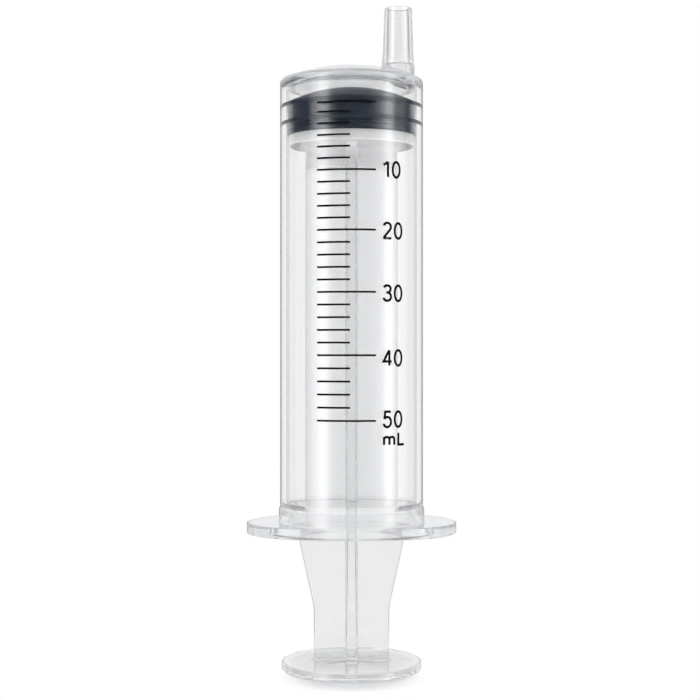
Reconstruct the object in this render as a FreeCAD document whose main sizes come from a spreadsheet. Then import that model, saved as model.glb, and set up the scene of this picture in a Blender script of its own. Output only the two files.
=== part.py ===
import FreeCAD, Part
import math
import os
import Sketcher

# A 50 mL three-part syringe that stands nozzle up on its thumb press.
# Z is the barrel's axis and its zero is the thumb face, the nozzle sits toward +X,
# and the printed side of the barrel faces -Y.

SIZES = {
    # Plunger rod
    "thumb_radius": 15.96,
    "thumb_thickness": 2.0,
    "rib_field_radius": 14.2,
    "rib_pitch": 2.2,
    "rib_groove_width": 1.1,
    "rib_groove_depth": 0.5,
    "fin_thickness": 2.3,
    "fin_edge_bevel": 0.45,
    "fin_root_radius": 0.6,
    "fin_foot_radius": 0.7,
    "waist_half_width": 8.65,
    "waist_half_depth": 5.6,
    "waist_top": 14.2,
    "waist_bend_radius": 12.0,
    "shoulder_half_width": 12.2,
    "shoulder_foot": 30.5,
    "shoulder_top": 32.4,
    "shoulder_slope": 1.2,
    "fin_half_width": 10.55,
    "disc_foot": 119.7,
    "disc_radius": 14.4,
    "disc_thickness": 2.5,
    "disc_edge_bevel": 0.3,
    "neck_radius": 5.0,
    "neck_length": 2.0,
    "barb_radius": 6.8,
    "barb_tip_radius": 5.6,
    "barb_length": 3.6,
    # Gasket
    "gasket_height": 7.4,
    "gasket_body_radius": 14.65,
    "dome_height": 3.6,
    "dome_bend_radius": 7.5,
    "dome_tip_radius": 3.0,
    "dome_tip_rise": 0.9,
    "lip_radius": 14.9,
    "lip_height": 1.0,
    "lip_groove_radius": 14.45,
    "lip_groove_width": 0.4,
    "seal_width": 0.8,
    "seal_slope": 0.35,
    "lower_seal_height": 2.6,
    "upper_seal_height": 6.65,
    # Barrel
    "bore_radius": 15.08,
    "wall": 1.32,
    "end_gap": 3.55,
    "inner_length": 101.9,
    "corner_thickness": 1.8,
    "end_dome_height": 3.2,
    "end_edge_bevel": 0.6,
    "end_margin_width": 2.43,
    "inner_corner_bevel": 0.4,
    "collar_step": 0.3,
    "collar_height": 5.7,
    "bead_height": 0.78,
    "bead_from_mouth": 5.6,
    "bead_slope": 1.5,
    "bead_throat_step": 0.33,
    "bead_throat_drop": 1.3,
    "mouth_chamfer": 0.4,
    "flange_half_length": 24.03,
    "flange_side_ledge": 0.8,
    "flange_arc_step": 1.5,
    "flange_thickness": 2.5,
    "flange_edge_bevel": 0.35,
    "flange_root_bevel": 0.25,
    # Nozzle
    "nozzle_offset": 10.74,
    "nozzle_length": 16.8,
    "nozzle_tip_radius": 3.12,
    "nozzle_base_radius": 3.58,
    "nozzle_bore_radius": 2.44,
    "nozzle_bore_base_radius": 2.72,
    "nozzle_tip_round": 0.3,
    "throat_radius": 2.0,
    "nozzle_collar_radius": 3.73,
    "nozzle_collar_height": 5.0,
    "nozzle_collar_fall": 1.2,
    "nozzle_root_radius": 0.8,
    # Clearances
    "seal_clearance": 0.05,
    "socket_clearance": 0.1,
    "seat_clearance": 0.05,
}

NOTHING = "0"


class Size:
    """A length or position: its value in mm and the sheet expression that gives it."""

    def __init__(self, value, text):
        self.value = value
        self.text = text

    def joined(self, other, sign, value):
        other_text = other.text if isinstance(other, Size) else str(other)
        return Size(value, f"({self.text} {sign} {other_text})")

    def __add__(self, other):
        return self.joined(other, "+", self.value + number(other))

    def __sub__(self, other):
        return self.joined(other, "-", self.value - number(other))

    def __mul__(self, other):
        return self.joined(other, "*", self.value * number(other))

    def __truediv__(self, other):
        return self.joined(other, "/", self.value / number(other))

    def __neg__(self):
        return Size(-self.value, f"(0 - {self.text})")


def number(size):
    """The plain value of a Size or of a number."""
    return size.value if isinstance(size, Size) else size


def chord(radius, offset):
    """Half the length of a circle's chord that runs at an offset from its centre."""
    half = math.sqrt(radius.value**2 - number(offset) ** 2)
    return Size(half, f"sqrt({radius.text}^2 - {offset.text}^2)")


def dome_radius(half_width, height):
    """Radius of the arc that rises by height over half_width."""
    return (half_width * half_width + height * height) / (height * 2)


doc = FreeCAD.newDocument("three_part_syringe")
sheet = doc.addObject("Spreadsheet::Sheet", "Sizes")
for row, (name, value) in enumerate(SIZES.items(), start=1):
    sheet.set(f"A{row}", str(value))
    sheet.setAlias(f"A{row}", name)
doc.recompute()

AXIS = Size(0.0, NOTHING)


def size(name):
    """A driving dimension, by its name in the sheet."""
    return Size(SIZES[name], f"Sizes.{name}")


# Bodies, sketches and features


def new_body(name):
    """An empty body whose label names the piece."""
    body = doc.addObject("PartDesign::Body", name)
    body.Label = name
    return body


def new_sketch(body, name, plane, along=AXIS, up=AXIS, out=AXIS):
    """A sketch on one of the body's origin planes, moved in its own axes."""
    sketch = body.newObject("Sketcher::SketchObject", name)
    support = [face for face in body.Origin.OriginFeatures if face.Role == plane][0]
    sketch.AttachmentSupport = [(support, "")]
    sketch.MapMode = "FlatFace"
    for axis, shift in (("x", along), ("y", up), ("z", out)):
        if shift is not AXIS:
            sketch.setExpression(f"AttachmentOffset.Base.{axis}", shift.text)
    doc.recompute()
    return sketch


def pin_point(sketch, piece, end, x, y):
    """Hold one end of a sketched line at a place that the sheet gives."""
    for kind, place, axis in (("DistanceX", x, -2), ("DistanceY", y, -1)):
        if place is AXIS:
            sketch.addConstraint(Sketcher.Constraint("PointOnObject", piece, end, axis))
        else:
            rule = Sketcher.Constraint(kind, -1, 1, piece, end, place.value)
            index = sketch.addConstraint(rule)
            sketch.setExpression(f"Constraints[{index}]", place.text)


def arc_between(start, end, radius):
    """An arc through two points that bulges to the right of the way from start to end."""
    way = end - start
    half = way.Length / 2
    sagitta = radius - math.sqrt(radius**2 - half**2)
    side = FreeCAD.Vector(way.y, -way.x, 0).normalize()
    return Part.Arc(start, start + way * 0.5 + side * sagitta, end)


def add_outline(sketch, corners):
    """Close an outline through corners (x, y), or (x, y, radius) where an arc leads on to the next."""
    points = [FreeCAD.Vector(number(corner[0]), number(corner[1]), 0) for corner in corners]
    pieces = []
    for place, corner in enumerate(corners):
        start = points[place]
        end = points[(place + 1) % len(points)]
        if len(corner) == 3:
            piece = sketch.addGeometry(arc_between(start, end, corner[2].value), False)
            first = sketch.Geometry[piece].StartPoint
            ends = (1, 2) if first.distanceToPoint(start) < 1e-6 else (2, 1)
        else:
            piece = sketch.addGeometry(Part.LineSegment(start, end), False)
            ends = (1, 2)
        pieces.append((piece, ends))
    for place, corner in enumerate(corners):
        piece, ends = pieces[place]
        before, before_ends = pieces[place - 1]
        joint = Sketcher.Constraint("Coincident", before, before_ends[1], piece, ends[0])
        sketch.addConstraint(joint)
        pin_point(sketch, piece, ends[0], corner[0], corner[1])
    for place, corner in enumerate(corners):
        if len(corner) == 3:
            rule = Sketcher.Constraint("Radius", pieces[place][0], corner[2].value)
            index = sketch.addConstraint(rule)
            sketch.setExpression(f"Constraints[{index}]", corner[2].text)
    return pieces


def add_circle(sketch, radius):
    """A circle about the sketch's origin."""
    circle = Part.Circle(FreeCAD.Vector(0, 0, 0), FreeCAD.Vector(0, 0, 1), radius.value)
    piece = sketch.addGeometry(circle, False)
    sketch.addConstraint(Sketcher.Constraint("Coincident", piece, 3, -1, 1))
    index = sketch.addConstraint(Sketcher.Constraint("Radius", piece, radius.value))
    sketch.setExpression(f"Constraints[{index}]", radius.text)


def mirrored(half):
    """A whole outline from the corners of its right half, listed upward."""
    left = [(-corner[0], corner[1]) for corner in reversed(half)]
    return half + left


def pad(body, name, sketch, length, middle=False, reverse=False):
    """Material as thick as length on a sketch."""
    feature = body.newObject("PartDesign::Pad", name)
    feature.Profile = sketch
    feature.Midplane = middle
    feature.Reversed = reverse
    feature.setExpression("Length", length.text)
    doc.recompute()
    return feature


def pocket(body, name, sketch, length, middle=False, reverse=False):
    """A cut as deep as length under a sketch."""
    before = body.Shape.Volume
    feature = body.newObject("PartDesign::Pocket", name)
    feature.Profile = sketch
    feature.Midplane = middle
    feature.Reversed = reverse
    feature.setExpression("Length", length.text)
    doc.recompute()
    if not feature.Shape.Volume < before:
        raise ValueError(f"{name} takes no material away")
    return feature


def turned(body, name, sketch, kind="PartDesign::Revolution"):
    """A sketch turned once about its own upright axis."""
    before = body.Shape.Volume if kind == "PartDesign::Groove" else 0
    feature = body.newObject(kind, name)
    feature.Profile = sketch
    feature.ReferenceAxis = (sketch, ["V_Axis"])
    feature.Angle = 360
    doc.recompute()
    if kind == "PartDesign::Groove" and not feature.Shape.Volume < before:
        raise ValueError(f"{name} takes no material away")
    return feature


def edges_where(shape, wanted):
    """Names of the edges whose shape the test called wanted accepts."""
    return [f"Edge{place}" for place, edge in enumerate(shape.Edges, start=1) if wanted(edge)]


def ring_at(radius, height):
    """A test for an edge that keeps to one radius about the barrel's axis and one height."""

    def wanted(edge):
        start = edge.FirstParameter
        step = (edge.LastParameter - start) / 4
        points = [edge.valueAt(start + step * place) for place in range(4)]
        round_axis = [abs(math.hypot(point.x, point.y) - number(radius)) < 1e-3 for point in points]
        level = [abs(point.z - number(height)) < 1e-3 for point in points]
        return edge.Length > 1 and all(round_axis) and all(level)

    return wanted


def dress(body, kind, name, wanted, amount):
    """A fillet or chamfer on the chosen edges of the body."""
    base = body.Tip
    feature = body.newObject(f"PartDesign::{kind}", name)
    names = edges_where(base.Shape, wanted)
    if not names:
        raise ValueError(f"{name} finds no edge")
    feature.Base = (base, names)
    feature.setExpression("Radius" if kind == "Fillet" else "Size", amount.text)
    doc.recompute()
    return feature


def middle_of(edge):
    """The point halfway along an edge."""
    return edge.valueAt((edge.FirstParameter + edge.LastParameter) / 2)


# Heights that more than one piece uses

disc_top = size("disc_foot") + size("disc_thickness")
neck_top = disc_top + size("neck_length")
barb_top = neck_top + size("barb_length")
gasket_foot = disc_top + size("seat_clearance")
end_height = gasket_foot + size("gasket_height") + size("end_gap")
mouth_height = end_height - size("inner_length")
wall_top = end_height + size("corner_thickness")
barrel_radius = size("bore_radius") + size("wall")
end_apex = wall_top + size("end_dome_height")
nozzle_tip = wall_top + size("nozzle_length")
collar_top = wall_top + size("nozzle_collar_height")

# The gasket's face and the barrel's inner end slope alike, so that they meet all round

dome_rise = size("dome_height") - size("dome_tip_rise")
dome_slope = dome_rise / (size("gasket_body_radius") - size("dome_bend_radius"))


def build_plunger_rod():
    """Thumb press, four fins with a waist and shoulders, head disc and barb in one moulding."""
    body = new_body("plunger_rod")
    half_fin = size("fin_thickness") / 2
    foot = size("thumb_thickness") / 2
    top = size("disc_foot") + size("disc_thickness") / 2
    shoulder_end = size("shoulder_top") + size("shoulder_slope")

    wide = new_sketch(body, "wide_fins_outline", "XZ_Plane")
    add_outline(
        wide,
        mirrored(
            [
                (size("waist_half_width"), foot),
                (size("waist_half_width"), size("waist_top")),
                (size("shoulder_half_width"), size("shoulder_foot")),
                (size("shoulder_half_width"), size("shoulder_top")),
                (size("fin_half_width"), shoulder_end),
                (size("fin_half_width"), top),
            ]
        ),
    )
    pad(body, "wide_fins", wide, size("fin_thickness"), middle=True)

    deep = new_sketch(body, "deep_fins_outline", "YZ_Plane")
    add_outline(
        deep,
        mirrored(
            [
                (size("waist_half_depth"), foot),
                (size("waist_half_depth"), size("waist_top")),
                (size("fin_half_width"), size("shoulder_foot")),
                (size("fin_half_width"), top),
            ]
        ),
    )
    pad(body, "deep_fins", deep, size("fin_thickness"), middle=True)

    def at_waist(edge):
        point = middle_of(edge)
        across = edge.Length < size("fin_thickness").value + 1e-3
        outer = math.hypot(point.x, point.y) > half_fin.value * 2
        return across and outer and abs(point.z - size("waist_top").value) < 1e-3

    dress(body, "Fillet", "waist_bends", at_waist, size("waist_bend_radius"))

    def at_root(edge):
        point = middle_of(edge)
        beside = abs(abs(point.x) - half_fin.value) < 1e-3
        return beside and abs(abs(point.y) - half_fin.value) < 1e-3 and edge.Length > 5

    dress(body, "Fillet", "fin_roots", at_root, size("fin_root_radius"))

    def along_fin_edge(edge):
        point = middle_of(edge)
        low = foot.value + 1e-3
        high = top.value - 1e-3
        far = max(abs(point.x), abs(point.y)) > size("waist_half_depth").value - 1e-3
        near = min(abs(point.x), abs(point.y))
        return far and abs(near - half_fin.value) < 1e-3 and low < point.z < high

    dress(body, "Chamfer", "fin_bevels", along_fin_edge, size("fin_edge_bevel"))

    thumb = new_sketch(body, "thumb_press_outline", "XY_Plane")
    add_circle(thumb, size("thumb_radius"))
    pad(body, "thumb_press", thumb, size("thumb_thickness"))

    def at_foot(edge):
        point = middle_of(edge)
        inside = math.hypot(point.x, point.y) < size("thumb_radius").value - 1
        return inside and abs(point.z - size("thumb_thickness").value) < 1e-3

    dress(body, "Fillet", "fin_feet", at_foot, size("fin_foot_radius"))

    head = new_sketch(body, "head_profile", "XZ_Plane")
    add_outline(
        head,
        [
            (AXIS, size("disc_foot")),
            (size("disc_radius"), size("disc_foot")),
            (size("disc_radius"), disc_top),
            (size("neck_radius"), disc_top),
            (size("neck_radius"), neck_top),
            (size("barb_radius"), neck_top),
            (size("barb_tip_radius"), barb_top),
            (AXIS, barb_top),
        ],
    )
    turned(body, "head", head)

    def at_disc_rim(edge):
        low = ring_at(size("disc_radius"), size("disc_foot"))
        high = ring_at(size("disc_radius"), disc_top)
        return low(edge) or high(edge)

    dress(body, "Chamfer", "disc_rim", at_disc_rim, size("disc_edge_bevel"))

    ribs = new_sketch(body, "grip_grooves_outline", "XY_Plane")
    half_groove = size("rib_groove_width") / 2
    reach = size("rib_field_radius") - half_groove
    copies = int((reach.value - 1) / SIZES["rib_pitch"])
    for place in range(-copies, copies + 1):
        middle = size("rib_pitch") * place
        far_side = size("rib_pitch") * abs(place) + half_groove
        end = chord(size("rib_field_radius"), far_side)
        low = middle - half_groove
        high = middle + half_groove
        add_outline(ribs, [(end, low), (end, high), (-end, high), (-end, low)])
    pocket(body, "grip_grooves", ribs, size("rib_groove_depth"), reverse=True)
    return body


def build_gasket():
    """Rubber gasket with a domed face, two sealing ribs, a lip and the socket for the barb."""
    body = new_body("gasket")
    seal = size("bore_radius") - size("seal_clearance")
    shell = size("gasket_body_radius")
    groove = size("lip_groove_radius")
    slope = size("seal_slope")
    lip_top = gasket_foot + size("lip_height")
    low_seal = gasket_foot + size("lower_seal_height")
    high_seal = gasket_foot + size("upper_seal_height")
    half_seal = size("seal_width") / 2
    shoulder = gasket_foot + size("gasket_height")
    apex = shoulder + size("dome_height")
    gap = size("socket_clearance")
    neck = size("neck_radius") + gap

    profile = new_sketch(body, "gasket_profile", "XZ_Plane")
    add_outline(
        profile,
        [
            (neck, gasket_foot),
            (size("lip_radius"), gasket_foot),
            (size("lip_radius"), lip_top),
            (groove, lip_top + slope),
            (groove, lip_top + slope + size("lip_groove_width")),
            (seal, low_seal - half_seal),
            (seal, low_seal + half_seal),
            (shell, low_seal + half_seal + slope),
            (shell, high_seal - half_seal - slope),
            (seal, high_seal - half_seal),
            (seal, high_seal + half_seal),
            (shell, shoulder),
            (size("dome_bend_radius"), apex - size("dome_tip_rise")),
            (size("dome_tip_radius"), apex),
            (AXIS, apex),
            (AXIS, barb_top + gap),
            (size("barb_tip_radius") + gap, barb_top + gap),
            (size("barb_radius") + gap, neck_top - gap),
            (neck, neck_top - gap),
        ],
    )
    turned(body, "gasket_turned", profile)
    return body


def add_barrel_outside(body):
    """The barrel as a solid rod with its domed end and the collar above the flange."""
    collar = barrel_radius + size("collar_step")
    collar_end = mouth_height + size("collar_height")

    profile = new_sketch(body, "outside_profile", "XZ_Plane")
    add_outline(
        profile,
        [
            (AXIS, mouth_height),
            (collar, mouth_height),
            (collar, collar_end),
            (barrel_radius, collar_end + size("collar_step")),
            (barrel_radius, wall_top, dome_radius(barrel_radius, size("end_dome_height"))),
            (AXIS, end_apex),
        ],
    )
    turned(body, "outside", profile)
    dress(body, "Chamfer", "end_edge", ring_at(barrel_radius, wall_top), size("end_edge_bevel"))


def add_flange(body):
    """The finger flange: an oval of four arcs around the mouth."""
    long_half = size("flange_half_length")
    deep_half = barrel_radius + size("collar_step") + size("flange_side_ledge")
    end_arc = deep_half - size("flange_arc_step")
    run = long_half - end_arc
    side_arc = (run * run + deep_half * deep_half - end_arc * end_arc) / ((deep_half - end_arc) * 2)
    join_x = side_arc * run / (side_arc - end_arc)
    join_y = (side_arc - deep_half) * end_arc / (side_arc - end_arc)

    oval = new_sketch(body, "flange_outline", "XY_Plane", out=mouth_height)
    add_outline(
        oval,
        [
            (join_x, -join_y, end_arc),
            (join_x, join_y, side_arc),
            (-join_x, join_y, end_arc),
            (-join_x, -join_y, side_arc),
        ],
    )
    pad(body, "flange", oval, size("flange_thickness"))

    flange_top = mouth_height + size("flange_thickness")

    def at_rim(edge):
        point = middle_of(edge)
        outside = math.hypot(point.x, point.y) > barrel_radius.value + size("collar_step").value - 0.2
        flat = abs(edge.BoundBox.ZLength) < 1e-4
        level = min(abs(point.z - flange_top.value), abs(point.z - mouth_height.value)) < 1e-3
        ring = ring_at(barrel_radius + size("collar_step"), flange_top)(edge)
        return outside and flat and level and not ring

    dress(body, "Chamfer", "flange_rim", at_rim, size("flange_edge_bevel"))
    at_root = ring_at(barrel_radius + size("collar_step"), flange_top)
    dress(body, "Chamfer", "flange_root", at_root, size("flange_root_bevel"))


def add_nozzle(body):
    """The eccentric nozzle: a collar on the domed end and a tapered spout, both still solid."""
    offset = size("nozzle_offset")
    collar = size("nozzle_collar_radius")

    base = new_sketch(body, "nozzle_collar_profile", "XZ_Plane", along=offset)
    add_outline(base, [(AXIS, wall_top), (collar, wall_top), (collar, collar_top), (AXIS, collar_top)])
    turned(body, "nozzle_collar", base)

    wedge = new_sketch(body, "nozzle_collar_slope", "XZ_Plane", along=offset)
    side = collar + 1
    over = collar_top + 1
    fall = size("nozzle_collar_fall")
    add_outline(wedge, [(side, collar_top - fall), (side, over), (-side, over), (-side, collar_top)])
    pocket(body, "nozzle_collar_top", wedge, collar * 4, middle=True)

    def at_collar_root(edge):
        point = middle_of(edge)
        reach = math.hypot(point.x - offset.value, point.y)
        low = point.z < end_apex.value
        return edge.Length > 10 and abs(reach - collar.value) < 1e-2 and low and point.z > wall_top.value - 1

    dress(body, "Fillet", "nozzle_root", at_collar_root, size("nozzle_root_radius"))

    spout = new_sketch(body, "nozzle_profile", "XZ_Plane", along=offset)
    tip = size("nozzle_tip_radius")
    round_off = size("nozzle_tip_round")
    add_outline(
        spout,
        [
            (AXIS, end_apex),
            (size("nozzle_base_radius"), end_apex),
            (tip, nozzle_tip - round_off),
            (tip - round_off, nozzle_tip),
            (AXIS, nozzle_tip),
        ],
    )
    turned(body, "nozzle", spout)


def cut_inside(body):
    """The bore with the bead that keeps the plunger in, and its domed end."""
    bore = size("bore_radius")
    bead = mouth_height + size("bead_from_mouth")
    crest = bore - size("bead_height")
    throat = crest + size("bead_throat_step")
    margin = bore - size("end_margin_width")
    bend = size("dome_bend_radius")
    bend_height = end_height + (margin - bend) * dome_slope
    inner_apex = bend_height + size("dome_tip_rise")
    outside = mouth_height - 1

    profile = new_sketch(body, "bore_profile", "XZ_Plane")
    add_outline(
        profile,
        [
            (AXIS, outside),
            (bore, outside),
            (bore, mouth_height),
            (throat, bead - size("bead_throat_drop")),
            (crest, bead),
            (bore, bead + size("bead_slope")),
            (bore, end_height),
            (margin, end_height),
            (bend, bend_height),
            (size("dome_tip_radius"), inner_apex),
            (AXIS, inner_apex),
        ],
    )
    turned(body, "bore", profile, kind="PartDesign::Groove")
    dress(body, "Chamfer", "inner_corner", ring_at(bore, end_height), size("inner_corner_bevel"))
    dress(body, "Chamfer", "mouth_lead", ring_at(bore, mouth_height), size("mouth_chamfer"))


def cut_passage(body):
    """The way out through the nozzle: a throat that widens into the tapered spout."""
    passage = new_sketch(body, "passage_profile", "XZ_Plane", along=size("nozzle_offset"))
    above = nozzle_tip + 1
    below = end_height - 1
    step = collar_top - size("nozzle_collar_fall") / 2
    add_outline(
        passage,
        [
            (AXIS, below),
            (size("throat_radius"), below),
            (size("throat_radius"), step),
            (size("nozzle_bore_base_radius"), step),
            (size("nozzle_bore_radius"), nozzle_tip),
            (size("nozzle_bore_radius"), above),
            (AXIS, above),
        ],
    )
    turned(body, "passage", passage, kind="PartDesign::Groove")


def build_barrel():
    """Barrel, finger flange and nozzle in one clear moulding."""
    body = new_body("barrel")
    add_barrel_outside(body)
    add_flange(body)
    add_nozzle(body)
    cut_inside(body)
    cut_passage(body)
    return body


bodies = [build_plunger_rod(), build_gasket(), build_barrel()]
for body in bodies:
    body.Placement = FreeCAD.Placement()
doc.recompute()

# Nothing is written unless every feature and every piece is sound

for item in doc.Objects:
    if "Invalid" in item.State or "Error" in item.State:
        raise ValueError(f"{item.Label} did not rebuild")
for body in bodies:
    if body.Shape.isNull() or not body.Shape.isValid():
        raise ValueError(f"{body.Label} is not a sound solid")

os.makedirs("parts", exist_ok=True)
for body in bodies:
    body.Shape.exportStep(f"parts/{body.Label}.step")
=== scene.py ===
import math

import bmesh
import bpy
from mathutils import Matrix, Vector


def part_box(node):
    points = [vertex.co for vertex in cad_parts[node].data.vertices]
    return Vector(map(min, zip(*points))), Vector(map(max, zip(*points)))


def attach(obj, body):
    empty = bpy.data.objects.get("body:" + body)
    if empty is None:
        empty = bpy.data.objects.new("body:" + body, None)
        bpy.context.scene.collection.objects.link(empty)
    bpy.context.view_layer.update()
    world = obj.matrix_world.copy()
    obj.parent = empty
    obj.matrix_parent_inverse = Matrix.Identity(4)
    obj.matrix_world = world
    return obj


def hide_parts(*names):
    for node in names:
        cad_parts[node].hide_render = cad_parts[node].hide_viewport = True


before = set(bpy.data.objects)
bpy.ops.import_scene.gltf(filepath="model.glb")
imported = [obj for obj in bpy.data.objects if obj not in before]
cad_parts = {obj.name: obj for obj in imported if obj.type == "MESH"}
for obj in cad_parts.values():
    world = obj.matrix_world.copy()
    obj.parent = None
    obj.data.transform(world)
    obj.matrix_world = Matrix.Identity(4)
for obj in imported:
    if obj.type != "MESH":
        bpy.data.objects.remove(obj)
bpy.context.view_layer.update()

# A clear 50 mL syringe that stands nozzle up on its thumb press. Sizes are in mm and
# meshes are written in metres. The nozzle sits toward +X and the scale faces -Y.

MM = 0.001


def in_mm(corner):
    """A corner of a box from the frame, in mm."""
    return corner / MM


barrel_low, barrel_high = (in_mm(corner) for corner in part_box("barrel"))
gasket_low, gasket_high = (in_mm(corner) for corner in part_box("gasket"))
rod_low, rod_high = (in_mm(corner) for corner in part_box("plunger_rod"))

# Barrel sizes

MOUTH = barrel_low.z
FLANGE_HALF_LENGTH = barrel_high.x
FLANGE_HALF_DEPTH = barrel_high.y
FLANGE_END_RADIUS = FLANGE_HALF_DEPTH - 1.5
FLANGE_TOP = MOUTH + 2.5
BORE = 15.08
BARREL_RADIUS = BORE + 1.32
COLLAR_RADIUS = BARREL_RADIUS + 0.3
COLLAR_TOP = MOUTH + 5.7
BEAD = MOUTH + 5.6
BEAD_CREST = BORE - 0.78
END_HEIGHT = MOUTH + 101.9
WALL_TOP = END_HEIGHT + 1.8
DOME_RISE = 3.2
DOME_RADIUS = (BARREL_RADIUS**2 + DOME_RISE**2) / (2 * DOME_RISE)
INNER_DOME_HALF = 13.1
INNER_DOME_RISE = 2.8
INNER_DOME_RADIUS = (INNER_DOME_HALF**2 + INNER_DOME_RISE**2) / (2 * INNER_DOME_RISE)

NOZZLE_TIP = barrel_high.z
NOZZLE_OFFSET = 10.74
NOZZLE_TIP_RADIUS = 3.12
NOZZLE_BASE_RADIUS = 3.58
SPOUT_BORE_TIP = 2.44
SPOUT_BORE_BASE = 2.72
THROAT = 2.0
NECK_RADIUS = 3.73
NECK_TOP = WALL_TOP + 4.4
NECK_FALL = 1.2
NECK_ROOT = 0.8
RIM_INSET = 1.3
RIM = BARREL_RADIUS - RIM_INSET

# Bends and short runs of the barrel's profile

THROAT_RUN = 2.0
THROAT_BEND = 0.25
THROAT_MID_BEND = 0.07
SPOUT_ROOT = 0.2
SPOUT_LIP = 0.15
TIP_BEND = 0.35
LEDGE_BEND = 0.12
LEDGE_REACH = 0.5
RIM_SLOPE = 0.4
RIM_BEND = 1.0
COLLAR_STEP = 0.3
COLLAR_BEND = 0.15
FLANGE_ROOT = 0.25
FLANGE_ROOT_RUN = 0.4
FLANGE_EDGE = 0.3
FLANGE_EDGE_RUN = 0.45
MOUTH_RUN = 0.9
MOUTH_BEND = 0.4
BEAD_LEAD = 1.3
BEAD_LEAD_RISE = 0.33
BEAD_FALL = 1.5
BEAD_BEND = 0.4
BEAD_FOOT_BEND = 0.5
END_BEND = 0.4
INNER_RIM = INNER_DOME_HALF + 0.3
NECK_STEPS = 6
END_STEPS = 14
INNER_STEPS = 24

COLUMNS = 288
BEND_STEPS = 4
GUARD = 0.03


# Meshes


def rounded(corners):
    """A profile through corners (across, up, radius) with its bends rounded off.

    A guard point beside each bend keeps the flat stretch next to it flat in the shading.
    """
    points = [Vector(corners[0][:2])]
    for before, corner, after in zip(corners, corners[1:], corners[2:]):
        here = Vector(corner[:2])
        back = Vector(before[:2]) - here
        ahead = Vector(after[:2]) - here
        half = back.angle(ahead) / 2
        room = 0.45 * min(back.length, ahead.length)
        reach = min(corner[2] / math.tan(half), room)
        back.normalize()
        ahead.normalize()
        start = here + back * reach
        end = here + ahead * reach
        middle = here + (back + ahead).normalized() * (reach / math.cos(half))
        guard = min(GUARD, room * 0.1)
        points.append(start + back * guard)
        radius = (start - middle).length
        first = math.atan2(start.y - middle.y, start.x - middle.x)
        last = math.atan2(end.y - middle.y, end.x - middle.x)
        sweep = (last - first + math.pi) % (2 * math.pi) - math.pi
        for step in range(BEND_STEPS + 1):
            turn = first + sweep * step / BEND_STEPS
            points.append(middle + Vector((math.cos(turn), math.sin(turn))) * radius)
        points.append(end + ahead * guard)
    points.append(Vector(corners[-1][:2]))
    return points


def loft(name, rings, closed=False):
    """A smooth mesh through rings of equal length. Unless it is closed, both ends get a cap."""
    count = len(rings[0])
    points = [Vector(point) * MM for ring in rings for point in ring]
    faces = []
    for row in range(len(rings) if closed else len(rings) - 1):
        low = row * count
        high = (row + 1) % len(rings) * count
        for column in range(count):
            beside = (column + 1) % count
            faces.append((low + column, low + beside, high + beside, high + column))
    if not closed:
        faces.append(tuple(range(count)))
        faces.append(tuple(range(len(points) - count, len(points))))
    mesh = bpy.data.meshes.new(name)
    mesh.from_pydata(points, [], faces)
    shell = bmesh.new()
    shell.from_mesh(mesh)
    bmesh.ops.recalc_face_normals(shell, faces=shell.faces)
    shell.to_mesh(mesh)
    shell.free()
    mesh.shade_smooth()
    piece = bpy.data.objects.new(name, mesh)
    bpy.context.scene.collection.objects.link(piece)
    return piece


def cut_away(piece, cutter):
    """Take a closed bmesh away from a piece, for good."""
    mesh = bpy.data.meshes.new("cutter")
    cutter.to_mesh(mesh)
    cutter.free()
    tool = bpy.data.objects.new("cutter", mesh)
    bpy.context.scene.collection.objects.link(tool)
    cut = piece.modifiers.new("cut", "BOOLEAN")
    cut.object = tool
    cut.operation = "DIFFERENCE"
    cut.solver = "EXACT"
    depsgraph = bpy.context.evaluated_depsgraph_get()
    result = bpy.data.meshes.new_from_object(piece.evaluated_get(depsgraph))
    piece.modifiers.clear()
    piece.data = result
    result.shade_smooth()
    result.set_sharp_from_angle(angle=math.radians(40))
    bpy.data.objects.remove(tool)


def turned(name, profile, count=COLUMNS):
    """A mesh turned about the barrel's axis from a profile of (radius, height)."""
    spokes = [2 * math.pi * step / count for step in range(count)]
    rings = [
        [(point.x * math.cos(spoke), point.x * math.sin(spoke), point.y) for spoke in spokes]
        for point in profile
    ]
    return loft(name, rings)


# Barrel: every ring of its mesh has the same columns. A column leaves the nozzle's axis in one
# direction, crosses the domed end to the rim, and runs down the wall from there.


def barrel_columns():
    """For each column, its direction from the nozzle's axis and from the barrel's axis."""
    columns = []
    for step in range(COLUMNS):
        turn = 2 * math.pi * step / COLUMNS
        spoke = Vector((math.cos(turn), math.sin(turn)))
        along = NOZZLE_OFFSET * spoke.x
        reach = math.sqrt(along**2 - NOZZLE_OFFSET**2 + RIM**2) - along
        hit = Vector((NOZZLE_OFFSET, 0)) + spoke * reach
        columns.append((spoke, hit.normalized()))
    return columns


def dome(radius, height, across):
    """Height of a dome of that radius and apex height, at a distance from its axis."""
    return height - radius + math.sqrt(radius**2 - across**2)


def end_outside(across):
    """Height of the domed end's outer face."""
    return dome(DOME_RADIUS, WALL_TOP + DOME_RISE, across)


def end_inside(across):
    """Height of the domed end's inner face."""
    if across > INNER_DOME_HALF:
        return END_HEIGHT
    return dome(INNER_DOME_RADIUS, END_HEIGHT + INNER_DOME_RISE, across)


def flange_reach(direction, inset):
    """Distance from the axis to the flange's oval edge, drawn in by inset."""
    run = FLANGE_HALF_LENGTH - FLANGE_END_RADIUS
    deep, end = FLANGE_HALF_DEPTH, FLANGE_END_RADIUS
    side = (run**2 + deep**2 - end**2) / (2 * (deep - end))
    join = side * run / (side - end)

    def hit(middle, radius):
        along = direction.dot(middle)
        return along + math.sqrt(along**2 - middle.length_squared + (radius - inset) ** 2)

    at_end = hit(Vector((math.copysign(run, direction.x), 0)), end)
    if abs(at_end * direction.x) > join:
        return at_end
    return hit(Vector((0, math.copysign(side - deep, -direction.y))), side)


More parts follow.
